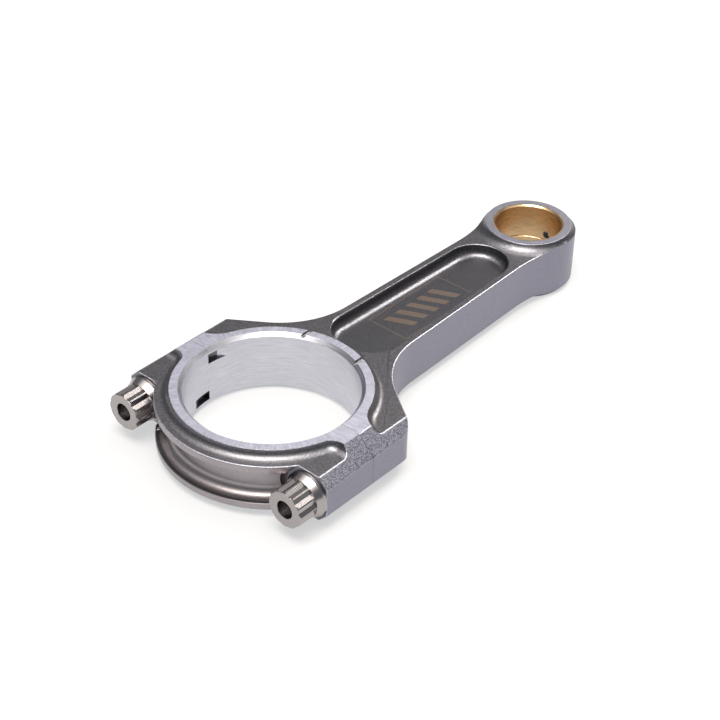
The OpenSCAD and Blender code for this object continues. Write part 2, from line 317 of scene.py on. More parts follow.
def box(name, low, high):
    """Rectangular cutter between two corners."""
    corners = [(low[0], low[1]), (high[0], low[1]), (high[0], high[1]), (low[0], high[1])]
    return build_up(name, corners, low[2], high[2] - low[2])


def apply_modifier(obj, kind, **settings):
    """Adds a modifier with its settings and applies it."""
    only(obj)
    bpy.ops.object.modifier_add(type=kind)
    modifier = obj.modifiers[-1]
    for key, value in settings.items():
        setattr(modifier, key, value)
    bpy.ops.object.modifier_apply(modifier=modifier.name)
    return obj


def carve(obj, tool, operation="DIFFERENCE"):
    """Cuts, joins or trims a solid with another one, which is used up."""
    apply_modifier(obj, "BOOLEAN", operation=operation, solver="EXACT", object=tool)
    bpy.data.objects.remove(tool)
    return obj


def mirror_tool(tool, axis):
    """A solid together with its mirror image across the X axis line (Y) or mid-width (Z)."""
    return apply_modifier(tool, "MIRROR", use_axis=[axis == "X", axis == "Y", axis == "Z"],
                          use_mirror_merge=False)


def trim(obj, point, normal, fill):
    """Cuts away everything on the side of the plane that the normal points to."""
    edit_all(obj)
    bpy.ops.mesh.bisect(plane_co=point, plane_no=normal, use_fill=fill, clear_outer=True,
                        threshold=1e-7)
    bpy.ops.mesh.select_all(action="DESELECT")
    bpy.ops.object.mode_set(mode="OBJECT")
    return obj


def mirror_down(obj):
    """Cuts a solid open at mid-width and mirrors its upper half down."""
    trim(obj, (0, 0, 0), (0, 0, -1), False)
    return apply_modifier(obj, "MIRROR", use_axis=[False, False, True], merge_threshold=2e-6)


def clean_flats(obj):
    """Merges slivers and clears the lines that cuts have left across flat faces."""
    edit_all(obj)
    bpy.ops.mesh.remove_doubles(threshold=TINY)
    bpy.ops.mesh.select_all(action="SELECT")
    bpy.ops.mesh.dissolve_limited(angle_limit=math.radians(0.3))
    return close(obj)


def ease_edges(obj, width, test, steps=2, finish=WORN_GLINT):
    """Bevels the sharp convex edges whose middle passes the test, by default as worn edges with a painted
    highlight.
    """
    only(obj)
    bpy.ops.object.mode_set(mode="EDIT")
    bpy.ops.mesh.select_mode(type="EDGE")
    bpy.ops.mesh.select_all(action="DESELECT")
    mesh = bmesh.from_edit_mesh(obj.data)
    sharp = math.radians(28)
    for edge in mesh.edges:
        if len(edge.link_faces) != 2 or not edge.is_convex or edge.calc_face_angle() < sharp:
            continue
        if test((edge.verts[0].co + edge.verts[1].co) / 2):
            edge.select_set(True)
    bmesh.update_edit_mesh(obj.data)
    bpy.ops.mesh.bevel(offset_type="OFFSET", offset=width, segments=steps, affect="EDGES",
                       clamp_overlap=False, miter_outer="ARC", material=finish)
    bpy.ops.mesh.select_all(action="DESELECT")
    bpy.ops.object.mode_set(mode="OBJECT")
    return obj


def smooth(obj, angle):
    """Shades a finished solid smooth, with its flats kept flat."""
    only(obj)
    bpy.ops.object.shade_smooth_by_angle(angle=math.radians(angle))
    apply_modifier(obj, "WEIGHTED_NORMAL", keep_sharp=True, weight=100)
    return obj


def give_finishes(obj, rules):
    """Gives faces their finish by place and normal; a worn edge with its painted highlight keeps its own.
    """
    for face in obj.data.polygons:
        if face.material_index == WORN_GLINT:
            continue
        found = [slot for slot, test in rules if test(face.center, face.normal)]
        face.material_index = found[0] if found else FORGED


def thrust_outline(s, reach, sweep, grow, side, steps=48):
    """Outline of the raised thrust face on one side of the joint, grown outwards."""
    ring = HOUSING_R + s.ring_wall
    centre_x = reach + sweep
    tangent = math.acos(centre_x / (ring + sweep))
    centre_y = (ring + sweep) * math.sin(tangent)
    outer = PAD_Y + 5 * MM
    half = [(-6 * MM, outer), (reach + grow, outer)]
    half += arc(centre_x, centre_y, sweep - grow, math.pi, math.pi + tangent, 14)
    half += arc(0, 0, ring + grow, tangent, 0, steps)[1:]
    return [(side * x, y) for x, y in both_halves(half)]


def rod_outline(s):
    """Outline of the rod in plan, run 3 mm past the joint so that it can be cut there."""
    turn = s.flare_angle
    flare_x = s.beam_start - s.flare_r * math.sin(turn)
    flare_y = s.beam_y + s.flare_r * (1 - math.cos(turn))
    corner_x = flare_x - (PAD_Y - flare_y) / math.tan(turn) - s.corner_r * math.tan(turn / 2)
    eye_x = PIN_X + s.eye_offset
    blend_y = s.beam_end_y + s.eye_blend_r
    blend_x = eye_x - math.sqrt((s.eye_r + s.eye_blend_r) ** 2 - blend_y ** 2)
    blend = math.atan2(eye_x - blend_x, blend_y)
    right = math.pi / 2
    half = [(-3 * MM, PAD_Y)]
    half += arc(corner_x, PAD_Y - s.corner_r, s.corner_r, right, right - turn, 12)
    half += arc(s.beam_start, s.beam_y + s.flare_r, s.flare_r, 3 * right - turn, 3 * right, 24)
    half += arc(blend_x, blend_y, s.eye_blend_r, 3 * right, 3 * right + blend, 16)
    half += arc(eye_x, 0, s.eye_r, right + blend, 0, 40)[1:]
    return both_halves(half)


def pocket_outline(s, grow):
    """Outline of the beam's pocket: two corners at the crankpin end and one round end."""
    end_x = PIN_X - s.eye_face_r - 3.3 * MM - s.pocket_end_r
    across = Vector((end_x - s.pocket_x, -s.pocket_y))
    lean = math.atan2(across.y, across.x) + math.acos((s.pocket_r - s.pocket_end_r) / across.length)
    half = arc(s.pocket_x, s.pocket_y, s.pocket_r + grow, math.pi, lean, 20)
    half += arc(end_x, 0, s.pocket_end_r + grow, lean, 0, 20)
    return both_halves(half)


def cap_outline(c):
    """Outline of the cap in plan, run 3 mm past the joint so that it can be cut there."""
    rim = -CAP[0].x
    start = math.pi - math.asin(math.sqrt(rim ** 2 - c.seat_depth ** 2) / rim)
    half = [(3 * MM, PAD_Y), (-c.seat_depth, PAD_Y)] + arc(0, 0, rim, start, math.pi, 48)
    return both_halves(half)


def thrust_cutter(s, reach, sweep, side):
    """Cutter that leaves the raised thrust face, with its foot fillet, and clears the rest."""
    level = HALF_W - s.face_step
    start, end = (-FAR, 4 * FAR) if side > 0 else (-4 * FAR, FAR)
    cutter = box("thrust_cutter", (start, -FAR, level), (end, FAR, HALF_W + UNDER))
    top_edge = s.edge * 0.7
    foot = quarter(s.foot_fillet, 7, True, s.face_step - top_edge)
    grow = sum(inset for inset, _ in foot)
    plateau = build_up("plateau", thrust_outline(s, reach, sweep, grow, side), level - MM, MM,
                       foot + quarter(top_edge, 3, False))
    return carve(cutter, plateau)


def pad_chamfer_cutter(s):
    """Cutter for the 45 degree chamfers above both bolt pads."""
    inner = PAD_Y - s.side_chamfer
    section = [(inner - OVER, HALF_W + OVER), (PAD_Y + OVER, HALF_W - s.side_chamfer - OVER),
               (PAD_Y + 2 * OVER, HALF_W - s.side_chamfer), (inner, HALF_W + 3 * OVER)]
    tool = draw("pad_chamfer", [(-FAR, y, z) for y, z in section])
    bpy.ops.mesh.edge_face_add()
    bpy.ops.mesh.extrude_region_move(TRANSFORM_OT_translate={"value": (100 * MM, 0, 0)})
    return mirror_tool(close(tool), "Y")


def housing_cutter(s):
    """Cutter for the housing bore and the chamfer at its upper mouth."""
    top = HALF_W + OVER
    profile = [(-UNDER, 0), (-UNDER, HOUSING_R), (HALF_W - s.bore_chamfer, HOUSING_R),
               (top, HOUSING_R + s.bore_chamfer + OVER), (top, 0)]
    return lathe("housing_cutter", profile, (0, 0, 0), "Z", BORE_STEPS)


def tang_cutter(s, z):
    """Round slot cutter that enters the left wall of the bore at the joint."""
    offset = math.copysign(s.tang_offset, z)
    place = (offset, HOUSING_R + s.tang_depth - s.tang_r, z)
    half = s.tang_w / 2
    return lathe("tang_cutter", [(-half, 0), (-half, s.tang_r), (half, s.tang_r), (half, 0)],
                 place, "Z", 96)


def near(value, target, slack=0.02 * MM):
    """True if two lengths agree."""
    return abs(value - target) < slack


def at_bolt_hole(p):
    """True on the rims of a bolt hole."""
    reach = 6 * MM
    return math.hypot(abs(p.y) - BOLT_Y, p.z) < reach


class CONROD_OT_rod_body(bpy.types.Operator):
    """Forge, machine and finish the rod body"""
    bl_idname = "conrod.rod_body"
    bl_label = "Rod body"

    def execute(self, context):
        s, _, b = sizes(context)
        level = HALF_W - s.face_step
        rod = build_up("rod_forging", rod_outline(s), -MM, HALF_W + 2 * MM)
        give_slots(rod, steel_finishes(context))
        cutter = thrust_cutter(s, s.neck, s.neck_r, 1)
        top_edge = s.edge * 0.7
        steps = quarter(s.eye_fillet, 8, True, s.face_step - top_edge) + quarter(top_edge, 3, False)
        foot_r = s.eye_face_r + sum(inset for inset, _ in steps)
        foot = arc(PIN_X, 0, foot_r, 0, 2 * math.pi, 96)[:-1]
        carve(cutter, build_up("eye_face", foot, level - MM, MM, steps))
        carve(rod, cutter)
        mouth = s.edge * 1.2
        wall = s.pocket_depth - mouth - s.pocket_fillet
        steps = quarter(mouth, 3, True) + [(0, wall)] + quarter(s.pocket_fillet, 8, False)
        carve(rod, build_up("pocket", pocket_outline(s, mouth), HALF_W, -s.face_step, steps))
        carve(rod, pad_chamfer_cutter(s))
        trim(rod, (0, 0, 0), (-1, 0, 0), True)
        carve(rod, housing_cutter(s))
        carve(rod, seat_cutter())
        self.drill_holes(rod, s, b)
        mirror_down(rod)
        carve(rod, tang_cutter(s, s.tang_z))
        clean_flats(rod)
        ease_edges(rod, s.edge, lambda p: self.is_worn(s, p))
        ease_edges(rod, s.joint_edge, lambda p: abs(p.x) < TINY, 1, -1)
        give_finishes(rod, steel_rules(s))
        finish_piece(rod, "rod_forging", "rod", "rod_body")
        return {"FINISHED"}

    def is_worn(self, s, p):
        """True on the shoulders' and the pads' outer edges, which are worn and get a painted highlight."""
        level = HALF_W - s.face_step
        shoulder = near(abs(p.z), level, 0.7 * MM) and not on_pocket_mouth(s, p)
        on_pad = abs(p.y) > PAD_Y - s.side_chamfer - 0.1 * MM and p.x < 30 * MM
        return p.x > TINY and (shoulder or on_pad) and not at_bolt_hole(p)

    def drill_holes(self, rod, s, b):
        """Bolt holes with their sleeve seats, oil hole and oil notches."""
        hole = b.shank_r + s.bolt_gap
        seat = SLEEVE[1].x + 0.3 * MM
        profile = [(-MM, 0), (-MM, SLEEVE_R), (seat, SLEEVE_R), (seat, hole), (FAR, hole), (FAR, 0)]
        carve(rod, mirror_tool(lathe("bolt_drill", profile, (0, BOLT_Y, 0), "X", 48), "Y"))
        carve(rod, drill("oil_drill", (PIN_X, 0, 0), s.oil_hole_r, 0, 30 * MM, 32))
        low = HALF_W - s.notch_depth + s.notch_w / 2
        start, end, half = 20 * MM, 33 * MM, s.notch_w / 2
        groove = drill("notch", (0, s.notch_y, low), half, start, end, 16)
        slot = box("slot", (start, s.notch_y - half, low), (end, s.notch_y + half, low + 2 * MM))
        carve(groove, slot, "UNION")
        carve(rod, mirror_tool(groove, "Y"))


def on_pocket_mouth(s, p):
    """True on the beam's flat inside its side edges, where the pocket's mouth is already round."""
    inside = abs(p.y) < s.beam_end_y - 1.2 * MM
    return s.pocket_x - s.pocket_r - 2 * MM < p.x < PIN_X - s.eye_face_r - MM and inside


def seat_cutter():
    """Cutter for the hole that the bush is pressed into.

    Its 100 steps don't line up with the 96 of the eye's face, since a cut along shared edges fails.
    """
    top = HALF_W + OVER
    profile = [(-UNDER, 0), (-UNDER, BUSH_R), (top, BUSH_R), (top, 0)]
    return lathe("seat_cutter", profile, (PIN_X, 0, 0), "Z", 100)


class CONROD_OT_bearing_cap(bpy.types.Operator):
    """Forge, machine and finish the bearing cap"""
    bl_idname = "conrod.bearing_cap"
    bl_label = "Bearing cap"

    def execute(self, context):
        s, c, b = sizes(context)
        level = HALF_W - s.face_step
        channel_z = level - c.rib
        cap = build_up("cap_forging", cap_outline(c), -MM, HALF_W + 2 * MM)
        give_slots(cap, steel_finishes(context))
        carve(cap, thrust_cutter(s, c.neck, c.neck_r, -1))
        carve(cap, self.channel(s, c, channel_z))
        front = drill("spot_face", (0, BOLT_Y, 0), c.seat_r, BEHIND, -c.seat_depth)
        carve(cap, mirror_tool(front, "Y"))
        carve(cap, self.relief(c, channel_z))
        carve(cap, pad_chamfer_cutter(s))
        trim(cap, (0, 0, 0), (1, 0, 0), True)
        carve(cap, housing_cutter(s))
        carve(cap, self.bolt_holes(s, b))
        mirror_down(cap)
        carve(cap, tang_cutter(s, -s.tang_z))
        clean_flats(cap)
        ease_edges(cap, s.edge, lambda p: self.is_worn(s, p) and not near(abs(p.z), channel_z))
        ease_edges(cap, 0.5 * s.edge, lambda p: near(abs(p.z), channel_z), 1, FORGED)
        ease_edges(cap, s.joint_edge, lambda p: abs(p.x) < TINY, 1, -1)
        give_finishes(cap, steel_rules(s))
        finish_piece(cap, "cap_forging", "cap", "bearing_cap")
        return {"FINISHED"}

    def is_worn(self, s, p):
        """True on the ribs' and the pads' outer edges, which are worn and get a painted highlight."""
        away = p.to_2d().length > HOUSING_R + s.ring_wall + 2 * MM
        return p.x < -TINY and abs(p.z) < HALF_W - 0.4 * MM and away and not at_bolt_hole(p)

    def bolt_holes(self, s, b):
        """Cutter for the bolt holes and the seats of the locating sleeves."""
        seat = SLEEVE[1].x + 0.3 * MM
        hole = b.shank_r + s.bolt_gap
        wide = SLEEVE_R + 0.03 * MM
        profile = [(MM, 0), (MM, wide), (-seat, wide), (-seat, hole), (-FAR, hole), (-FAR, 0)]
        return mirror_tool(lathe("cap_drill", profile, (0, BOLT_Y, 0), "X", 48), "Y")

    def channel(self, s, c, channel_z):
        """Cutter for the channel round the back, which stops at the bolt bosses."""
        ring = HOUSING_R + s.ring_wall
        far = -CAP[0].x + 5 * MM
        f = c.channel_fillet
        corner = arc(channel_z - f, ring + f, f, 1.5 * math.pi, 2 * math.pi, 7)
        profile = [(-UNDER, far), (-UNDER, ring)] + corner + [(channel_z, far)]
        tool = lathe("channel", profile, (0, 0, 0), "Z", BORE_STEPS)
        boss = drill("boss", (0, BOLT_Y, 0), c.seat_r, -c.seat_depth, 40 * MM)
        carve(tool, mirror_tool(boss, "Y"))
        side = box("side", (-c.seat_depth, BOLT_Y, -HALF_W), (FAR, PAD_Y + 10 * MM, HALF_W))
        return carve(tool, mirror_tool(side, "Y"))

    def relief(self, c, channel_z):
        """Cutter for the socket relief between each round seat and the channel."""
        tool = drill("relief", (0, BOLT_Y, 0), c.relief_r, BEHIND, c.relief_depth - c.seat_depth)
        carve(tool, drill("seat", (0, BOLT_Y, 0), c.seat_r, BEHIND - 10 * MM, 0))
        keep = box("keep", (BEHIND - 20 * MM, 0, -UNDER), (0, BOLT_Y, channel_z))
        return mirror_tool(carve(tool, keep, "INTERSECT"), "Y")


class CONROD_OT_cap_bolts(bpy.types.Operator):
    """Make the two twelve-point cap bolts"""
    bl_idname = "conrod.cap_bolts"
    bl_label = "Cap bolts"

    def execute(self, context):
        _, c, b = sizes(context)
        bolt = self.head(c, b, -c.seat_depth - BOLT[0].x)
        carve(bolt, self.thread(c, b), "UNION")
        give_slots(bolt, [bolt_steel(context)])
        bolt.rotation_euler = (0, -math.pi / 2, 0)
        bolt.location = (-c.seat_depth, 0, 0)
        only(bolt)
        bpy.ops.object.transform_apply(location=True, rotation=True, scale=True)
        for side, y in (("left", BOLT_Y), ("right", -BOLT_Y)):
            copy = bolt.copy()
            copy.data = bolt.data.copy()
            context.collection.objects.link(copy)
            copy.location = (0, y, 0)
            only(copy)
            bpy.ops.object.transform_apply(location=True, rotation=False, scale=False)
            finish_piece(copy, f"bolt_{side}", f"bolt_{side}", f"cap_bolt_{side}", 25)
        bpy.data.objects.remove(bolt)
        return {"FINISHED"}

    def head(self, c, b, height):
        """Twelve-point head with its flange, standing on its seat at the origin."""
        tip = b.flats / 2 / math.cos(math.radians(30))
        notch = b.flats / 2 / math.cos(math.radians(15))
        blunt = tip - 0.06 * MM
        star = []
        for i in range(12):
            middle = math.radians(30 * i)
            for turn, r in ((-2, blunt), (2, blunt), (15, notch)):
                angle = middle + math.radians(turn)
                star.append((r * math.cos(angle), r * math.sin(angle)))
        head = build_up("head", star, b.rim, height - b.rim)
        round_end = quarter(b.edge, 3, False)
        slope = tip - b.head_end_r
        cone = [(0, 0), (0, 2 * tip), (height - slope - b.edge, tip + b.edge)]
        radius, along = b.head_end_r + b.edge, height - b.edge
        cone.append((along, radius))
        for inset, climb in round_end:
            radius, along = radius - inset, along + climb
            cone.append((along, radius))
        hole = height - b.dimple_depth
        mouth = b.dimple_r + b.edge
        cone += [(height, mouth), (height - b.edge, b.dimple_r), (hole, b.dimple_r),
                 (hole - b.dimple_r / 2, b.edge), (hole - b.dimple_r / 2, 0)]
        carve(head, lathe("head_end", cone, (0, 0, 0), "Z", 72), "INTERSECT")
        return carve(head, self.flanged_shank(c, b), "UNION")

    def flanged_shank(self, c, b):
        """Flange with its cone, and the shank with a core for the thread and a chamfered end."""
        edge, neck, foot = b.edge, 0.3 * MM, 0.25 * MM
        core = b.shank_r - b.thread_depth
        run = c.seat_depth
        end = BOLT[1].x + c.seat_depth
        profile = [(b.rim + b.cone, 0), (b.rim + b.cone, b.collar_r),
                   (b.rim + foot, FLANGE_R - 2.5 * edge), (b.rim, FLANGE_R - edge),
                   (b.rim - edge, FLANGE_R), (edge, FLANGE_R), (0, FLANGE_R - edge),
                   (0, b.shank_r - neck), (-neck, b.shank_r - neck), (-2 * neck, b.shank_r),
                   (-run, b.shank_r), (-run - b.thread_depth, core), (-end + neck, core),
                   (-end, core - neck), (-end, 0)]
        return lathe("flanged_shank", profile, (0, 0, 0), "Z", 72)

    def thread(self, c, b):
        """Screw thread as one ridge that winds along the core."""
        core = b.shank_r - b.thread_depth
        half, crest = 0.42 * b.pitch, 0.08 * b.pitch
        run = BOLT[1].x - 1.2 * b.pitch
        turns = int(run / b.pitch)
        start = -c.seat_depth - 0.5 * b.pitch
        sunk = core - 0.15 * MM
        section = [(start + half, sunk), (start + crest, b.shank_r), (start - crest, b.shank_r),
                   (start - half, sunk)]
        ridge = draw("thread", [(r, 0, z) for z, r in section])
        bpy.ops.mesh.edge_face_add()
        close(ridge)
        apply_modifier(ridge, "SCREW", axis="Z", angle=2 * math.pi, iterations=turns,
                       screw_offset=-b.pitch, steps=28, render_steps=28,
                       use_normal_calculate=True, use_smooth_shade=False)
        edit_all(ridge)
        bpy.ops.mesh.fill_holes(sides=4)
        return close(ridge)


class CONROD_OT_sleeves(bpy.types.Operator):
    """Make the two locating sleeves"""
    bl_idname = "conrod.sleeves"
    bl_label = "Locating sleeves"

    def execute(self, context):
        s, _, b = sizes(context)
        inner = b.shank_r + s.bolt_gap
        ease = 0.2 * MM
        end = SLEEVE[1].x
        half = [(-end, inner + ease), (-end, SLEEVE_R - ease), (-end + ease, SLEEVE_R)]
        profile = half + [(-x, r) for x, r in reversed(half)]
        profile += [(end - ease, inner), (-end + ease, inner)]
        steel = sleeve_steel()
        for side, y in (("left", BOLT_Y), ("right", -BOLT_Y)):
            sleeve = lathe(f"sleeve_{side}", profile, (0, y, 0), "X", 64)
            give_slots(sleeve, [steel])
            finish_piece(sleeve, f"sleeve_{side}", "rod", f"dowel_sleeve_{side}")
        return {"FINISHED"}


class CONROD_OT_bush(bpy.types.Operator):
    """Make the bronze wrist-pin bush"""
    bl_idname = "conrod.bush"
    bl_label = "Wrist-pin bush"

    def execute(self, context):
        s, _, b = sizes(context)
        cham, groove = b.bush_chamfer, b.groove_w / 2
        deep = PIN_R + b.groove_depth
        ease = 0.12 * MM
        half = [(groove, deep), (groove, PIN_R + ease), (groove + ease, PIN_R),
                (HALF_W - cham, PIN_R), (HALF_W, PIN_R + cham), (HALF_W, BUSH_R)]
        profile = half + [(-z, r) for z, r in reversed(half)]
        bush = lathe("bush", profile, (PIN_X, 0, 0), "Z", 128)
        give_slots(bush, [bronze(context)])
        carve(bush, drill("oil_drill", (PIN_X, 0, 0), s.oil_hole_r, 0, 30 * MM, 32))
        finish_piece(bush, "bush", "rod", "pin_bush")
        return {"FINISHED"}


def give_slots(obj, materials):
    """Gives an object its materials in order."""
    obj.data.materials.clear()
    for material in materials:
        obj.data.materials.append(material)


def finish_piece(obj, name, body, node, angle=20):
    """Shades a piece, names it, lets it ride on its body and stand for its CAD node."""
    smooth(obj, angle)
    obj.name = obj.data.name = name
    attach(obj, body)
    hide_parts(node)


def steel_rules(s):
    """Where the rod and the cap are ground, honed or left grainy."""
    slope = math.sqrt(0.5)
    ring = HOUSING_R + s.ring_wall
    level = HALF_W - s.face_step
    return [
        # Rounded top edges and the pocket's mouth get the worn edge finish with its painted highlight
        (WORN_GLINT, lambda p, n: 0.1 < abs(n.z) < 0.98 and (abs(p.z) > HALF_W - s.edge * 0.75
                                                    and p.to_2d().length > HOUSING_R + 2 * MM
                                                    or near(abs(p.z), level - s.edge, 0.8 * s.edge)
                                                    and on_pocket_mouth(s, p))),
        (GROUND, lambda p, n: abs(n.z) > 0.99 and abs(p.z) > HALF_W - 0.05 * MM),
        (HONED, lambda p, n: p.to_2d().length < HOUSING_R + s.bore_chamfer and abs(n.z) < 0.9),
        (GRAINY, lambda p, n: abs(abs(n.z) - slope) < 0.02 and abs(abs(n.y) - slope) < 0.02),
        (TURNED, lambda p, n: p.x < 0 and abs(p.z) < level - 0.05 * MM and abs(p.y) < 30 * MM
         and ring - MM < p.to_2d().length < -CAP[0].x + MM),
        (FLANK, lambda p, n: abs(n.z) < 0.2 and (abs(p.z) < 2 * MM or p.x > PIN_X)
         and p.to_2d().length > ring + 3 * MM),
    ]


# ---------------------------------------------------------------- materials


def reckon(operation, reflected=False):
    """A Python operator on a Wire and a number or another Wire, which adds a Math node."""
    def work(self, other):
        values = (other, self) if reflected else (self, other)
        return self.math(operation, *values)
    return work


class Wire:
    """A node's output that can be added, scaled and compared like a number."""

    def __init__(self, tree, socket):
        self.tree = tree
        self.socket = socket

    def math(self, operation, *values):
        return add_node(self.tree, "ShaderNodeMath", dict(enumerate(values)), operation=operation)

    __add__ = reckon("ADD")
    __radd__ = reckon("ADD", True)
    __sub__ = reckon("SUBTRACT")
    __rsub__ = reckon("SUBTRACT", True)
    __mul__ = reckon("MULTIPLY")
    __rmul__ = reckon("MULTIPLY", True)
    __truediv__ = reckon("DIVIDE")
    __lt__ = reckon("LESS_THAN")

    def __abs__(self):
        return self.math("ABSOLUTE", self)


def add_node(tree, kind, inputs, output=0, **settings):
    """Adds a node, applies its settings and joins or sets its inputs."""
    node = tree.nodes.new(kind)
    stops = settings.pop("stops", None)
    for key, value in settings.items():
        setattr(node, key, value)
    if stops:
        ramp = node.color_ramp
        while len(ramp.elements) < len(stops):
            ramp.elements.new(0.5)
        for element, (place, colour) in zip(ramp.elements, stops):
            element.position = place
            element.color = colour
    for key, value in inputs.items():
        socket = node.inputs[key]
        if isinstance(value, Wire):
            tree.links.new(value.socket, socket)
        else:
            socket.default_value = value
    return Wire(tree, node.outputs[output]) if node.outputs else None


class Metal:
    """A metallic material with the textures that its finish needs, in millimetres."""

    def __init__(self, name):
        self.material = bpy.data.materials.new(name)
        self.material.use_nodes = True
        self.tree = self.material.node_tree
        self.tree.nodes.clear()
        where = self.node("ShaderNodeTexCoord", {}, "Object")
        self.place = self.node("ShaderNodeVectorMath", {0: where, "Scale": 1 / MM}, operation="SCALE")

    def node(self, kind, inputs, output=0, **settings):
        return add_node(self.tree, kind, inputs, output, **settings)

    def axes(self, centre=(0, 0, 0)):
        """Distances from a centre along X, Y and Z, in millimetres."""
        moved = self.node("ShaderNodeVectorMath", {0: self.place, 1: [v / MM for v in centre]},
                          operation="SUBTRACT")
        return [self.node("ShaderNodeSeparateXYZ", {0: moved}, name) for name in "XYZ"]

    def angle(self, x, y):
        """Angle round the Z axis, in radians."""
        return self.node("ShaderNodeMath", {0: y, 1: x}, operation="ARCTAN2")

    def noise(self, scale, detail=2.0, rough=0.5, vector=None):
        """Fractal noise from 0 to 1, with its scale per millimetre."""
        return self.node("ShaderNodeTexNoise", {"Vector": vector or self.place, "Scale": scale,
                                                "Detail": detail, "Roughness": rough}, "Fac")

    def stretched(self, x, y, z):
        """A place built from three values, so that a pattern runs its own way on each axis."""
        return self.node("ShaderNodeCombineXYZ", {0: x, 1: y, 2: z}, 0)

    def crisp(self, value, gain=3.0):
        """The same pattern with more contrast about its middle."""
        return (value - 0.5) * gain + 0.5

    def mix(self, factor, first, second):
        """Blend of two colours."""
        return self.node("ShaderNodeMix", {0: factor, 6: colour(first), 7: colour(second)}, 2,
                         data_type="RGBA")

    def blend(self, pattern, value, low, high):
        """A colour that a pattern makes darker and lighter, from its low to its high share."""
        return self.mix(pattern, scaled(value, low), scaled(value, high))

    def steps(self, pattern, low, high, rising=True):
        """Black below one level of a pattern and white above another, or the other way round."""
        black, white = (0, 0, 0, 1), (1, 1, 1, 1)
        ends = (black, white) if rising else (white, black)
        return self.node("ShaderNodeValToRGB", {0: pattern}, stops=list(zip((low, high), ends)))

    def finish(self, base, roughness, height, depth):
        """Joins colour, roughness and a bump, whose depth is in millimetres, to the surface."""
        bump = self.node("ShaderNodeBump", {"Height": height, "Strength": 1.0, "Distance": depth * MM})
        shader = self.node("ShaderNodeBsdfPrincipled", {"Base Color": base, "Metallic": 1.0,
                                                        "Roughness": roughness, "Normal": bump})
        self.node("ShaderNodeOutputMaterial", {"Surface": shader})
        return self.material


def colour(value):
    """A colour with its alpha, or a link as it is."""
    return value if isinstance(value, Wire) else (*value[:3], 1.0)


def scaled(value, factor):
    """A colour made lighter or darker."""
    return tuple(min(1.0, part * factor) for part in value)


def forged_steel(context):
    """Satin peened forging with faint warm patches, painted shade on the pocket floors and an etched mark
    in the pocket.
    """
    look = context.scene.conrod_finishes
    s = sizes(context)[0]
    metal = Metal("forged_steel")
    x, y, z = metal.axes()
    grain = metal.noise(1.9, 2.0, 0.6)
    fine = metal.noise(5.0, 2.0, 0.6)
    patches = metal.noise(0.06, 3.0, 0.55)
    base = metal.blend(metal.crisp(grain), look.forged, 0.66, 1.38)
    warm = (look.forged[0] * 1.16, look.forged[1] * 1.0, look.forged[2] * 0.88)
    base = metal.mix(patches * 0.6, base, warm)
    floor = (HALF_W - s.face_step - s.pocket_depth) / MM
    # Painted shade: both pocket floors are darkened, as if shaded by the pocket's walls
    base = metal.mix((abs(abs(z) - floor) < 0.3) * 0.55, base, scaled(look.forged, 0.52))
    mark = etched_mark(metal, x, y) * (abs(z - floor) < 0.3)
    base = metal.mix(mark * 0.9, base, look.etched)
    rough = 0.27 + 0.10 * grain + 0.06 * patches + 0.14 * mark
    return metal.finish(base, rough, grain + 0.5 * fine, 0.034)


def flank_steel(context):
    """Cooler satin side walls with a fine grain."""
    look = context.scene.conrod_finishes
    metal = Metal("flank_steel")
    grain = metal.noise(2.2, 2.0, 0.6)
    fine = metal.noise(6.0, 2.0, 0.6)
    patches = metal.noise(0.08, 2.0, 0.5)
    base = metal.blend(metal.crisp(grain), look.flank, 0.86, 1.14)
    warm = (look.flank[0] * 1.04, look.flank[1] * 0.99, look.flank[2] * 0.90)
    base = metal.mix(patches * 0.5, base, warm)
    return metal.finish(base, 0.34 + 0.10 * grain, grain + 0.5 * fine, 0.018)


def turned_steel(context):
    """Warm satin channel and rims of the cap, with faint lines round them."""
    look = context.scene.conrod_finishes
    metal = Metal("turned_steel")
    grain = metal.noise(1.9, 2.0, 0.6)
    patches = metal.noise(0.12, 3.0, 0.55)
    lines = ring_lines(metal, (0, 0, 0), 2.0, 1.8)
    base = metal.blend(metal.crisp(grain, 2.0), look.turned, 0.84, 1.14)
    base = metal.mix(metal.crisp(patches, 2.0) * 0.5, base, scaled(look.turned, 0.74))
    rough = 0.27 + 0.10 * grain + 0.05 * patches
    return metal.finish(base, rough, grain + 0.5 * lines, 0.022)


def etched_mark(metal, x, y):
    """A plain frame with a row of slanted bars, seen from above, in millimetres."""
    middle_x, half_x, half_y, line = 72.6, 17.8, 7.9, 0.16
    pitch, lean, bars_x, bars_y = 5.6, 0.45, 12.6, 4.6
    across = abs(x - middle_x)
    up = abs(y)
    inside = (across < half_x + line) * (up < half_y + line)
    middle = (across < half_x - line) * (up < half_y - line)
    frame_line = inside * (1 - middle)
    slanted = x - middle_x + lean * y
    # Whole turns are added, because the remainder of a negative number is negative
    turn = metal.node("ShaderNodeMath", {0: slanted / pitch + 100.25, 1: 1.0}, operation="MODULO")
    bars = (turn < 0.5) * (abs(slanted) < bars_x) * (up < bars_y)
    return frame_line + bars


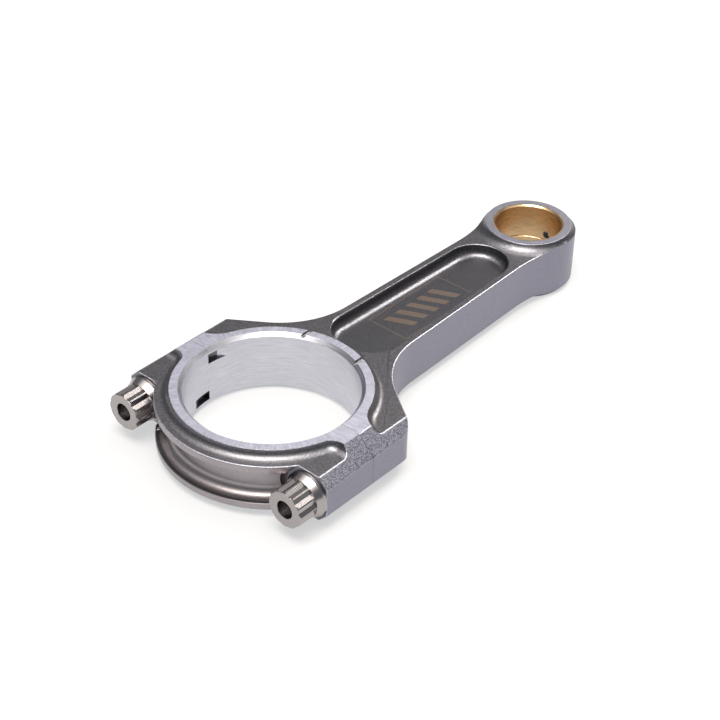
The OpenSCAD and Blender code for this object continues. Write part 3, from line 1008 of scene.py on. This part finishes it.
def ground_steel(context):
    """Thrust faces with fine grinding strokes across the rings, a few dark scratches and painted shade on
    the eye's face.
    """
    look = context.scene.conrod_finishes
    metal = Metal("ground_steel")
    x, y, _ = metal.axes()
    angle = metal.angle(x, y)
    radius = metal.node("ShaderNodeMath", {0: x * x + y * y, 1: 0.5}, operation="POWER")
    strokes = metal.noise(1.0, 3.0, 0.65, metal.stretched(angle * 46.0, radius * 0.28, 0.0))
    marks = metal.noise(1.0, 2.0, 0.6, metal.stretched(angle * 17.0, radius * 0.5, 3.0))
    scratches = metal.steps(marks, 0.30, 0.40, rising=False)
    specks = metal.noise(2.4, 2.0, 0.7)
    base = metal.blend(metal.crisp(strokes, 2.6), look.ground, 0.80, 1.20)
    base = metal.mix(specks * 0.3, base, scaled(look.ground, 0.74))
    base = metal.mix(0.35 * scratches, base, scaled(look.ground, 0.5))
    # Painted shade: the thrust face round the eye is made darker than the one at the crankpin end
    at_eye = 1 - (x < 100.0)
    base = metal.mix(at_eye * 0.85, base, scaled(look.ground, 0.42))
    rough = 0.40 + 0.16 * strokes
    return metal.finish(base, rough, strokes + 0.3 * specks, 0.020)


def ring_lines(metal, centre, around, along):
    """Fine lines round a bore: the angle is stretched and the height is tight."""
    x, y, z = metal.axes(centre)
    angle = metal.angle(x, y)
    return metal.noise(1.0, 3.0, 0.65, metal.stretched(angle * around, z * along, 0.0))


def honed_steel(context):
    """Housing bore with honing lines round it, and the polished chamfer at its mouth."""
    look = context.scene.conrod_finishes
    metal = Metal("honed_steel")
    fine = ring_lines(metal, (0, 0, 0), 4.0, 2.4)
    wide = ring_lines(metal, (0, 0, 0), 1.6, 0.7)
    base = metal.blend(metal.crisp(fine, 1.6), look.honed, 0.74, 1.30)
    base = metal.mix(wide * 0.5, base, scaled(look.honed, 0.80))
    rough = 0.22 + 0.14 * fine + 0.06 * wide
    return metal.finish(base, rough, fine + 0.6 * wide, 0.020)


def grainy_steel(context):
    """Coarse sparkling cast grain on the pad chamfers."""
    look = context.scene.conrod_finishes
    metal = Metal("grainy_steel")
    grain = metal.noise(2.5, 3.0, 0.72)
    fine = metal.noise(6.0, 2.0, 0.6)
    peaks = metal.steps(grain, 0.36, 0.66)
    base = metal.mix(peaks, scaled(look.forged, 0.60), scaled(look.ground, 1.22))
    rough = 0.32 + 0.22 * fine
    return metal.finish(base, rough, grain + 0.4 * fine, 0.07)


def worn_glint_steel(context):
    """Worn edges with small nicks, made brighter than worn metal alone as a painted highlight along the
    edges.
    """
    look = context.scene.conrod_finishes
    metal = Metal("worn_glint_steel")
    nicks = metal.steps(metal.noise(1.5, 3.0, 0.7), 0.40, 0.58)
    # Edge colour well above the walls beside it: worn metal plus a painted highlight
    base = metal.mix(nicks, scaled(look.flank, 0.9), scaled(look.honed, 0.76))
    return metal.finish(base, 0.36 + 0.12 * nicks, nicks, 0.012)


def steel_finishes(context):
    """The seven finishes of the rod and the cap, made once and shared."""
    makers = (forged_steel, flank_steel, turned_steel, ground_steel, honed_steel, grainy_steel,
              worn_glint_steel)
    return [bpy.data.materials.get(make.__name__) or make(context) for make in makers]


def bolt_steel(context):
    """Satin nickel-coloured bolt steel with fine marks."""
    look = context.scene.conrod_finishes
    metal = Metal("bolt_steel")
    fine = metal.noise(3.5, 3.0, 0.6)
    patches = metal.noise(0.35, 2.0, 0.5)
    base = metal.blend(fine, look.plated, 0.86, 1.1)
    base = metal.mix(patches * 0.5, base, scaled(look.plated, 0.82))
    return metal.finish(base, 0.15 + 0.08 * fine + 0.07 * patches, fine, 0.010)


def sleeve_steel():
    """Plain turned steel with fine lines."""
    metal = Metal("sleeve_steel")
    x, y, z = metal.axes()
    lines = metal.noise(1.0, 2.0, 0.6, metal.stretched(x * 6.0, y * 0.4, z * 0.4))
    base = metal.mix(lines, (0.34, 0.34, 0.36), (0.50, 0.50, 0.52))
    return metal.finish(base, 0.25 + 0.12 * lines, lines, 0.010)


def bronze(context):
    """Golden bronze with fine turning lines round the bush."""
    look = context.scene.conrod_finishes
    metal = Metal("bronze")
    centre = (PIN_X, 0, 0)
    fine = ring_lines(metal, centre, 2.6, 2.4)
    wide = ring_lines(metal, centre, 1.3, 0.7)
    base = metal.blend(metal.crisp(fine, 2.6), look.bronze, 0.74, 1.28)
    base = metal.mix(wide * 0.4, base, (look.bronze[0] * 0.9, look.bronze[1] * 0.82, look.bronze[2] * 0.7))
    return metal.finish(base, 0.22 + 0.14 * fine, fine + 0.5 * wide, 0.020)


# ---------------------------------------------------------------- stage


class CONROD_OT_stage(bpy.types.Operator):
    """Lay the floor, place the lights and aim the camera"""
    bl_idname = "conrod.stage"
    bl_label = "Stage"

    def execute(self, context):
        look = context.scene.conrod_finishes
        self.floor(look)
        self.softboxes()
        self.sky(context.scene, look)
        self.camera(context.scene)
        context.scene.view_settings.view_transform = "Standard"
        return {"FINISHED"}

    def floor(self, look):
        """White floor that partly glows, as a light table does, so that shadows stay faint."""
        bpy.ops.object.select_all(action="DESELECT")
        bpy.ops.mesh.primitive_circle_add(vertices=64, radius=4.0, fill_type="NGON",
                                          location=(0, 0, -HALF_W))
        floor = bpy.context.object
        floor.name = "floor"
        bpy.ops.object.transform_apply(location=True, rotation=True, scale=True)
        material = bpy.data.materials.new("floor")
        material.use_nodes = True
        surface = material.node_tree.nodes["Principled BSDF"]
        surface.inputs["Base Color"].default_value = (*[0.80 - look.floor_glow] * 3, 1)
        surface.inputs["Roughness"].default_value = 0.7
        surface.inputs["Specular IOR Level"].default_value = 0.1
        surface.inputs["Emission Color"].default_value = (0.985, 0.99, 1.0, 1)
        surface.inputs["Emission Strength"].default_value = look.floor_glow
        floor.data.materials.append(material)

    def softboxes(self):
        """Soft lights above the cap and beyond the beam, which draw highlights on the fillets."""
        middle = Vector(((ROD[0].x + ROD[1].x) / 2, 0, 0))
        for name, place, width, depth, power in (("softbox", (-0.27, -0.08, 0.76), 0.52, 0.42, 7.2),
                                                 ("strip", (0.60, -0.04, 0.62), 0.38, 0.28, 5.2)):
            bpy.ops.object.light_add(type="AREA", location=middle + Vector(place))
            light = bpy.context.object
            light.name = name
            light.data.shape = "RECTANGLE"
            light.data.size, light.data.size_y = width, depth
            light.data.energy = power
            light.data.color = (1.0, 0.95, 0.88)
            aim = middle - light.location
            light.rotation_mode = "QUATERNION"
            light.rotation_quaternion = aim.to_track_quat("-Z", "Y")

    def sky(self, scene, look):
        """Dark walls and a bright ceiling for the reflections; a pale backdrop for the camera."""
        world = bpy.data.worlds.new("studio")
        world.use_nodes = True
        tree = world.node_tree
        tree.nodes.clear()
        direction = add_node(tree, "ShaderNodeTexCoord", {}, "Generated")
        height = add_node(tree, "ShaderNodeSeparateXYZ", {0: direction}, "Z")
        wall, top = look.surround, look.overhead
        tone = add_node(tree, "ShaderNodeValToRGB", {0: height}, stops=[
            (0.0, (wall * 0.9, wall * 0.92, wall, 1)), (0.62, (wall * 1.1, wall * 1.12, wall * 1.2, 1)),
            (0.76, (top * 0.42, top * 0.40, top * 0.38, 1)), (0.90, (top, top * 0.96, top * 0.92, 1))])
        seen = add_node(tree, "ShaderNodeLightPath", {}, "Is Camera Ray")
        shown = add_node(tree, "ShaderNodeMix", {0: seen, 6: tone, 7: (0.95, 0.955, 0.965, 1)}, 2,
                         data_type="RGBA")
        shade = add_node(tree, "ShaderNodeBackground", {"Color": shown, "Strength": 1.0})
        add_node(tree, "ShaderNodeOutputWorld", {"Surface": shade})
        scene.world = world

    def camera(self, scene):
        """Long lens from above the cap's right-hand bolt."""
        azimuth, elevation, roll = (math.radians(a) for a in (-49.678, 35.861, 1.4945))
        target = Vector((28.145, -11.060, 10.8)) * MM
        distance = 548.49 * MM
        back = Vector((math.sin(azimuth) * math.cos(elevation),
                       -math.cos(azimuth) * math.cos(elevation), math.sin(elevation)))
        right = (-back).cross(Vector((0, 0, 1))).normalized()
        up = right.cross(-back)
        tilted_right = right * math.cos(roll) + up * math.sin(roll)
        tilted_up = up * math.cos(roll) - right * math.sin(roll)
        turn = Matrix((tilted_right, tilted_up, back)).transposed()
        data = bpy.data.cameras.new("camera")
        data.sensor_width = 36
        data.lens = 88.07
        data.clip_start, data.clip_end = 0.01, 20
        camera = bpy.data.objects.new("camera", data)
        bpy.context.collection.objects.link(camera)
        camera.matrix_world = Matrix.Translation(target + back * distance) @ turn.to_4x4()
        scene.camera = camera


class CONROD_PT_panel(bpy.types.Panel):
    """Buttons and sizes in the 3D view's sidebar"""
    bl_idname = "CONROD_PT_panel"
    bl_label = "Connecting rod"
    bl_space_type = "VIEW_3D"
    bl_region_type = "UI"
    bl_category = "Rod"

    def draw(self, context):
        for operator in OPERATORS:
            self.layout.operator(operator.bl_idname)
        for name in SETTINGS:
            column = self.layout.column()
            group = getattr(context.scene, name)
            for key in group.__annotations__:
                column.prop(group, key)


OPERATORS = (CONROD_OT_rod_body, CONROD_OT_bearing_cap, CONROD_OT_cap_bolts, CONROD_OT_sleeves,
             CONROD_OT_bush, CONROD_OT_stage)
SETTINGS = {"conrod_sizes": RodSizes, "conrod_cap": CapSizes, "conrod_bolts": BoltSizes,
            "conrod_finishes": Finishes}


def register():
    """Adds the sizes, the operators and the panel to Blender."""
    for cls in (*SETTINGS.values(), *OPERATORS, CONROD_PT_panel):
        bpy.utils.register_class(cls)
    for name, cls in SETTINGS.items():
        setattr(bpy.types.Scene, name, PointerProperty(type=cls))


def unregister():
    """Takes the panel, the operators and the sizes away again."""
    for name in SETTINGS:
        delattr(bpy.types.Scene, name)
    for cls in reversed((*SETTINGS.values(), *OPERATORS, CONROD_PT_panel)):
        bpy.utils.unregister_class(cls)


def main():
    """Builds every piece and the stage."""
    register()
    bpy.ops.conrod.rod_body()
    bpy.ops.conrod.bearing_cap()
    bpy.ops.conrod.cap_bolts()
    bpy.ops.conrod.sleeves()
    bpy.ops.conrod.bush()
    bpy.ops.conrod.stage()


if __name__ == "__main__":
    main()
